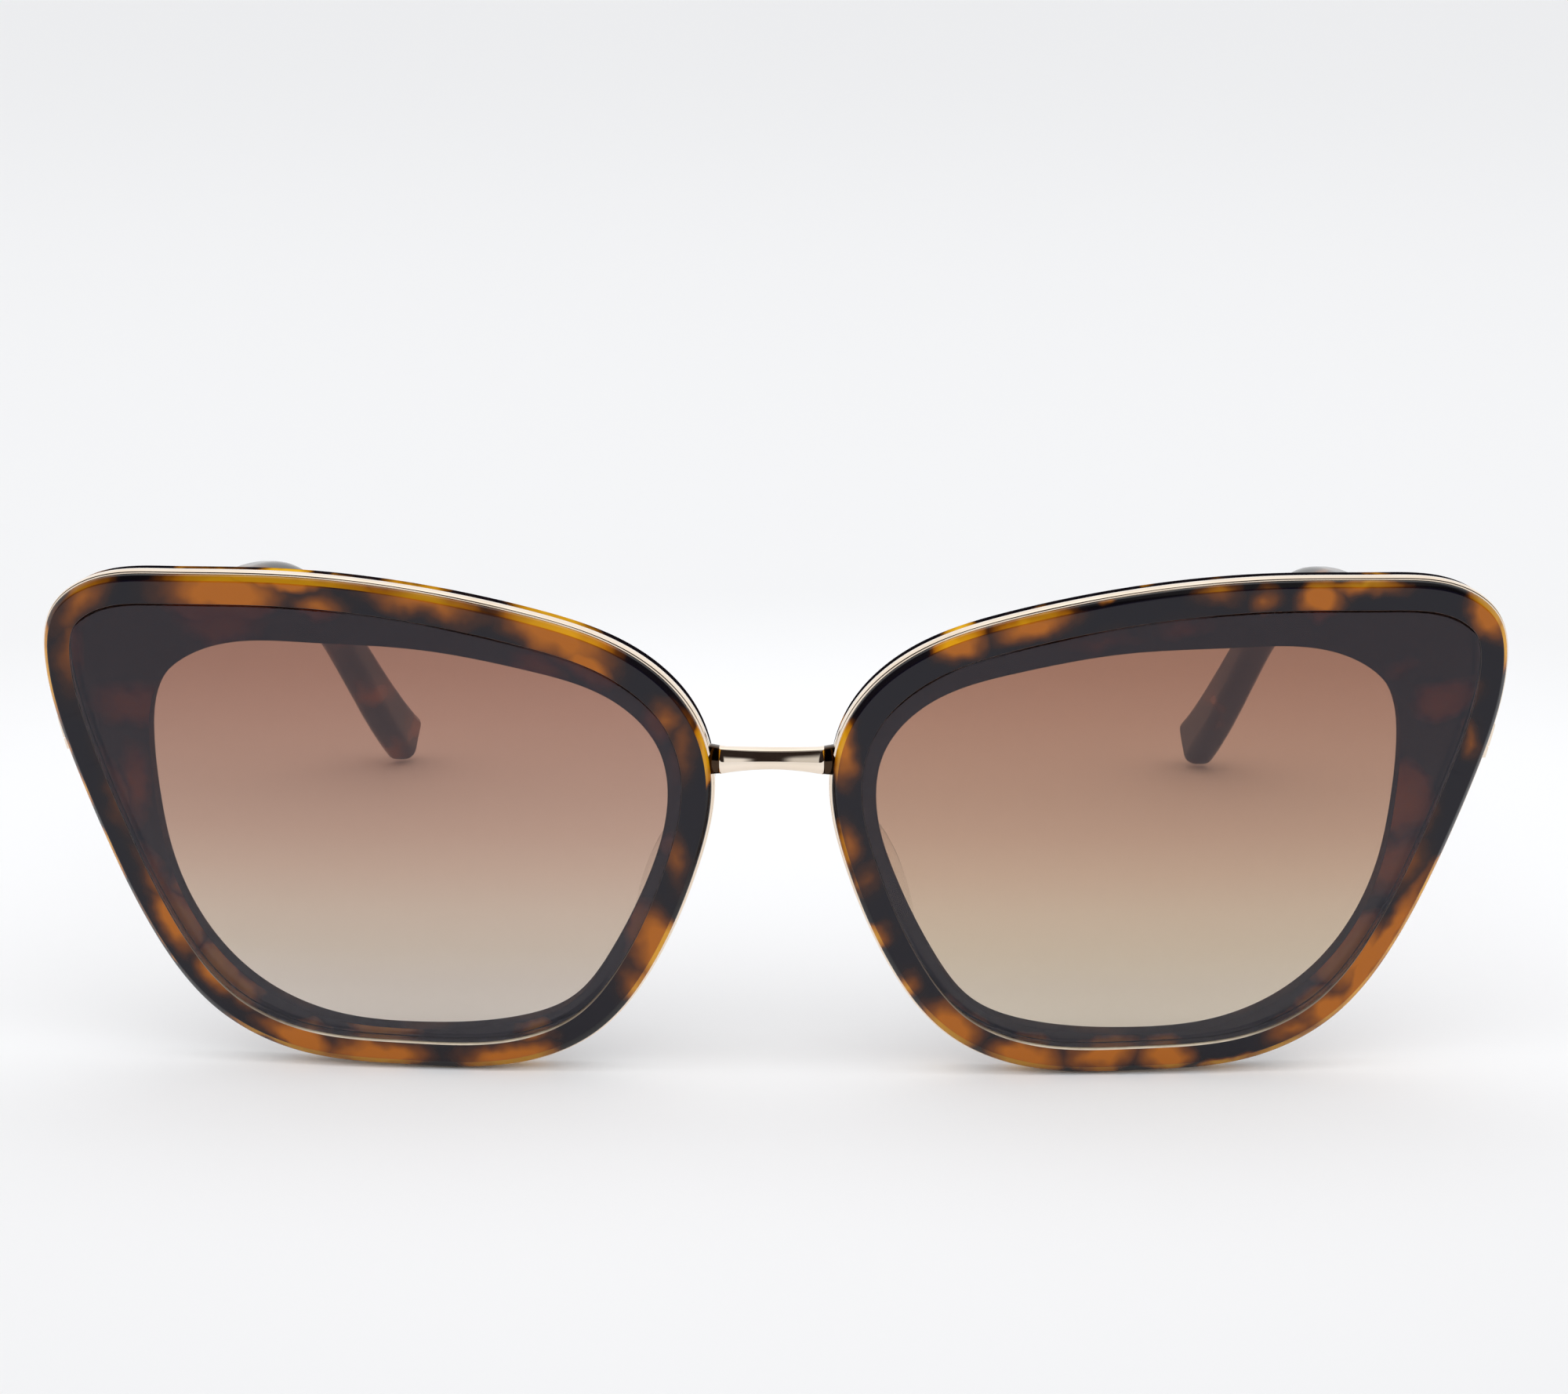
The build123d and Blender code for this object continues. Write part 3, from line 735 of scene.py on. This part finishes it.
# ---------------------------------------------------------------- bridge
def make_bridge():
    """The bar between the rims: flared ends, a crowned front, and ends turned back to the wires."""
    xs = np.array([0, 1, 2, 3, 3.8, 4.4, 4.75, 4.92, 5.05, 5.2, 5.5, 5.8, 6.05])
    xs = np.concatenate([-xs[:0:-1], xs])
    far_x = np.maximum(np.abs(xs) - 4.9, 0)
    front = -0.5 + 0.007 * np.minimum(np.abs(xs), 4.8) ** 2 + np.minimum(far_x * 1.6, 0.16) + far_x * 0.45
    back = 1.4 + np.maximum(np.abs(xs) - 4.4, 0) * 0.472
    top = 32.8 + 0.18 * (xs / 8) ** 2
    bottom = 30.95 - 1.45 * (xs / 8) ** 2
    middle = (top + bottom) / 2
    crown = 0.42
    crest = -0.28

    def line(y, z):
        return np.stack([xs, y, z], axis=1)

    corners = [(line(front + crown * (1 + crest) ** 2, bottom), 0.16, 0)]
    for share in (-0.8, -0.6, -0.4, -0.2, 0.0, 0.2, 0.4, 0.6, 0.8):
        height = middle + (top - bottom) / 2 * share
        corners.append((line(front + crown * (share - crest) ** 2, height), 0, 0))
    corners += [
        (line(front + crown * (1 - crest) ** 2, top), 0.16, 0),
        (line(back, top), 0.3, 0),
        (line(back, bottom), 0.3, 0),
    ]
    rows, _ = rounded(corners)
    n_rows, n_cols = rows.shape[:2]
    faces = grid_faces(n_rows, n_cols, True, False)
    faces += end_faces(n_rows, n_cols)
    make_piece(
        "bridge_bar", tilt_place(rows, 1), faces, [bridge_gold], "front", ["bridge"]
    )


# ---------------------------------------------------------------- nose pads
def make_pad(name, side):
    """Clear fixed pad: half an ellipse standing off the rim, its flat foot sunk in the rim."""
    turns = np.radians(np.linspace(-90, 90, 37))
    section = [(0.0, 0.92), (0.35, 0.90), (0.62, 0.84), (0.80, 0.74), (0.91, 0.58), (0.97, 0.38), (1.0, 0.0)]
    section += [(r, -t) for r, t in reversed(section[:-1])]
    rows = []
    for r, t in section:
        off, rise = PAD_REACH * r * np.cos(turns), PAD_HALF_HIGH * r * np.sin(turns)
        rows.append(np.stack([np.full(len(turns), t), off, rise], axis=1))
    rows = np.array(rows)
    n_rows, n_cols = rows.shape[:2]
    faces = grid_faces(n_rows, n_cols, False, False)
    verts = list(rows.reshape(-1, 3))
    ring = [r * n_cols for r in range(n_rows)]
    ring += [r * n_cols + n_cols - 1 for r in range(n_rows - 2, 0, -1)]
    below = []
    for index in ring:
        below.append(len(verts))
        verts.append(verts[index] - np.array([0, PAD_SUNK, 0]))
    for k in range(len(ring)):
        k2 = (k + 1) % len(ring)
        faces.append((ring[k], ring[k2], below[k2], below[k]))
    faces.append(tuple(below))
    v = np.array(verts)
    v = v @ np.array(Matrix.Rotation(PAD_SPLAY, 3, "Z")).T
    v = v @ np.array(Matrix.Rotation(PAD_LEAN, 3, "Y")).T
    foot = RIM_THICK + BASE_RADIUS - math.sqrt(BASE_RADIUS ** 2 - (PAD_ROOT[0] - RIM_CENTRE_X) ** 2)
    placed = wrap_place(v + np.array([PAD_ROOT[0], foot, PAD_ROOT[1]]), side)
    make_piece(name, placed, faces, [clear], "front", [name_of("nose_pad", side)])


# ---------------------------------------------------------------- temples
def make_temple(name, side):
    """Acetate temple: a rounded bar between its upper and lower edge lines, eased at both ends."""
    plan = spline_table(TEMPLE_PLAN, False)[0]
    upper_table = spline_table(TEMPLE_TOP, False)
    lower_table = spline_table(TEMPLE_BOTTOM, False)
    length = upper_table[1][-1]
    share = np.linspace(0, 1, 110)
    tail = 1 - np.array([1.0, 0.92, 0.75, 0.5, 0.25, 0.08, 0.0]) * TEMPLE_END_ROUND / length
    head = np.array([0.0, 0.12, 0.3]) / length
    share = np.concatenate([head, share[(share > head[-1] + 0.004) & (share < tail[0] - 0.004)], tail])
    upper = along(upper_table, share * length)
    lower = along(lower_table, share * lower_table[1][-1])
    past = np.maximum(share - tail[0], 0) / (1 - tail[0])
    shrink = (1 - np.sqrt(np.maximum(1 - past ** 2, 0))) * TEMPLE_END_ROUND
    shrink += np.maximum(0.3 - share * length, 0) * 0.8
    height = np.linalg.norm(upper - lower, axis=1)
    radius = 0.65 + 0.75 * smooth_step(share, 0.08, 0.6)
    loop = []
    for sx, sz, first in ((1, 1, 0), (-1, 1, 90), (-1, -1, 180), (1, -1, 270)):
        for step in range(6):
            a = math.radians(first + 18 * step)
            loop.append((sx, sz, math.cos(a), math.sin(a)))
    verts = []
    for sx, sz, ca, sa in loop:
        r = np.maximum(radius - shrink * 0.6, 0.3)
        off = sx * (TEMPLE_THICK / 2 - shrink - r) + ca * r
        rise = sz * (height / 2 - shrink - r) + sa * r
        t = 0.5 + rise / height
        point = lower + (upper - lower) * t[:, None]
        x = np.interp(point[:, 0], plan[:, 1], plan[:, 0]) + off
        verts.append(np.stack([x, point[:, 0], point[:, 1]], axis=1))
    rows = np.array(verts)
    n_rows, n_cols = rows.shape[:2]
    faces = grid_faces(n_rows, n_cols, True, False)
    faces += end_faces(n_rows, n_cols)
    rows[..., 1] = np.maximum(rows[..., 1], TEMPLE_FRONT)
    make_piece(
        name, side_place(rows, side), faces, [temple_tortoise], name_of("temple", side) + "_arm",
        [name_of("temple", side)],
    )


make_bridge()
for label, side in SIDES:
    make_rim("rim_" + label + "_acetate", side)
    make_wire("rim_wire_" + label + "_band", side)
    make_lens("lens_" + label + "_tinted", side)
    make_pad("nose_pad_" + label + "_clear", side)
    make_temple("temple_" + label + "_acetate", side)

NODE_LOOKS = {
    "closing_block": gold, "closing_screw": steel, "end_piece": gold, "hinge_screw": steel,
    "hinge_washers": washer, "hinge_leaf": gold, "temple_core": core_metal,
}
for node_name, mat in NODE_LOOKS.items():
    for label, side in SIDES:
        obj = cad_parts[node_name + "_" + label]
        obj.data.materials.clear()
        obj.data.materials.append(mat)


# ---------------------------------------------------------------- floor, light, camera
FLOOR_HALF = 12.0           # metres
FLOOR_DROP = 0.02
# Soft patches of light ahead: where each fades in and ends across, its top, and its strength.
FRONT_LIGHTS = ((-0.085, -0.135, -0.30, 0.55, 0.80), (0.010, 0.060, 0.24, 0.75, 0.62))


def make_floor():
    """Pale paper, with painted shade: a little greyer far off and in front."""
    mesh = bpy.data.meshes.new("floor")
    corners = [(x * FLOOR_HALF, y * FLOOR_HALF, 0) for x, y in ((-1, -1), (1, -1), (1, 1), (-1, 1))]
    mesh.from_pydata(corners, [], [(0, 1, 2, 3)])
    floor = bpy.data.objects.new("floor", mesh)
    floor.location.z = -FLOOR_DROP * MM
    bpy.context.scene.collection.objects.link(floor)
    mat, bsdf = new_material("floor_paper")
    coords = object_place(mat)
    grain = noise(mat, coords, 4.0, 2.0)
    from_middle = node(mat, "ShaderNodeVectorMath", operation="LENGTH")
    join(mat, coords, from_middle.inputs[0])
    # painted shade: the paper greys away from the middle
    far_painted_shade = step_node(mat, from_middle.outputs["Value"], 0.06, 0.22)
    tone = math_node(mat, "ADD", far_painted_shade, math_node(mat, "MULTIPLY", grain.outputs["Fac"], 0.1))
    stops = [(0.0, (0.985, 0.985, 0.990)), (1.0, (0.862, 0.862, 0.866))]
    # painted shade: the paper is 4% darker in front than behind
    behind = step_node(mat, axes_of(mat, coords)["Y"], -0.090, -0.060)
    share = math_node(mat, "ADD", math_node(mat, "MULTIPLY", behind, 0.04), 0.96)
    join(mat, scaled(mat, ramp(mat, tone, stops), share), bsdf.inputs["Base Color"])
    bsdf.inputs["Roughness"].default_value = 0.9
    bsdf.inputs["Specular IOR Level"].default_value = 0.1
    mesh.materials.append(mat)


def make_world():
    """A plain pale surround; what shines sees a bright backdrop behind and a dim room in front."""
    world = bpy.data.worlds.new("studio")
    bpy.context.scene.world = world
    world.use_nodes = True
    background = world.node_tree.nodes["Background"]
    towards = axes_of(world, node(world, "ShaderNodeTexCoord").outputs["Generated"])
    behind = step_node(world, towards["Y"], -0.12, 0.15)
    lit = behind
    for near, far, end, top, strength in FRONT_LIGHTS:
        across = step_node(world, towards["X"], near, far)
        inside = math_node(world, "SUBTRACT", 1, step_node(world, towards["X"], end * 0.8, end))
        low = math_node(world, "SUBTRACT", 1, step_node(world, towards["Z"], top * 0.5, top))
        patch = math_node(world, "MULTIPLY", math_node(world, "MULTIPLY", across, inside), low)
        lit = math_node(world, "MAXIMUM", lit, math_node(world, "MULTIPLY", patch, strength))
    shine = ramp(world, lit, [(0.0, (0.022, 0.015, 0.013)), (1.0, (1.0, 1.0, 1.0))])
    rise = step_node(world, towards["Z"], 0.0, 0.7)
    sky = math_node(world, "ADD", math_node(world, "MULTIPLY", rise, 0.62), 0.30)
    back_share = math_node(world, "SUBTRACT", 1.0, math_node(world, "MULTIPLY", behind, 0.45))
    level = math_node(world, "MULTIPLY", sky, back_share)
    fill = ramp(world, level, [(0.0, (0.0, 0.0, 0.0)), (1.0, (1.545, 1.555, 1.575))])
    rays = node(world, "ShaderNodeLightPath")
    first = node(world, "ShaderNodeMix", data_type="RGBA")
    join(world, rays.outputs["Is Glossy Ray"], first.inputs["Factor"])
    join(world, fill, first.inputs["A"])
    join(world, shine, first.inputs["B"])
    mix = node(world, "ShaderNodeMix", data_type="RGBA")
    join(world, rays.outputs["Is Camera Ray"], mix.inputs["Factor"])
    join(world, first.outputs["Result"], mix.inputs["A"])
    mix.inputs["B"].default_value = (0.90, 0.90, 0.905, 1)
    join(world, mix.outputs["Result"], background.inputs["Color"])
    background.inputs["Strength"].default_value = 1.0


def area_light(name, location, target, size, power):
    """A soft rectangular light aimed at a point."""
    data = bpy.data.lights.new(name, "AREA")
    data.shape = "RECTANGLE"
    data.size, data.size_y = size
    data.energy = power
    light = bpy.data.objects.new(name, data)
    light.location = location
    light.rotation_euler = (Vector(target) - Vector(location)).to_track_quat("-Z", "Y").to_euler()
    bpy.context.scene.collection.objects.link(light)


CAMERA_AT = (9.703, FRONT_Y - 380.0, 116.128 + FRONT_Z)
CAMERA_PITCH, CAMERA_PAN, CAMERA_ROLL = 0.204858, -0.022611, 0.001342
CAMERA_LENS = 92.55


def make_camera():
    """The view from in front and a little above, slightly panned and rolled."""
    data = bpy.data.cameras.new("camera")
    data.lens = CAMERA_LENS
    data.sensor_width = 36.0
    data.clip_start, data.clip_end = 0.01, 60.0
    camera = bpy.data.objects.new("camera", data)
    bpy.context.scene.collection.objects.link(camera)
    cp, sp = math.cos(CAMERA_PITCH), math.sin(CAMERA_PITCH)
    forward = Vector((math.sin(CAMERA_PAN) * cp, math.cos(CAMERA_PAN) * cp, -sp))
    right = Vector((math.cos(CAMERA_PAN), -math.sin(CAMERA_PAN), 0))
    up = right.cross(forward)
    cr, sr = math.cos(CAMERA_ROLL), math.sin(CAMERA_ROLL)
    right, up = right * cr + up * sr, up * cr - right * sr
    turn = Matrix((right, up, -forward)).transposed()
    camera.matrix_world = Matrix.Translation(Vector(CAMERA_AT) * MM) @ turn.to_4x4()
    bpy.context.scene.camera = camera


make_floor()
make_world()
area_light("overhead", (0.1, 0.12, 1.0), (0, -0.02, 0), (1.5, 1.2), 1.3)
make_camera()
bpy.context.scene.view_settings.view_transform = "Standard"
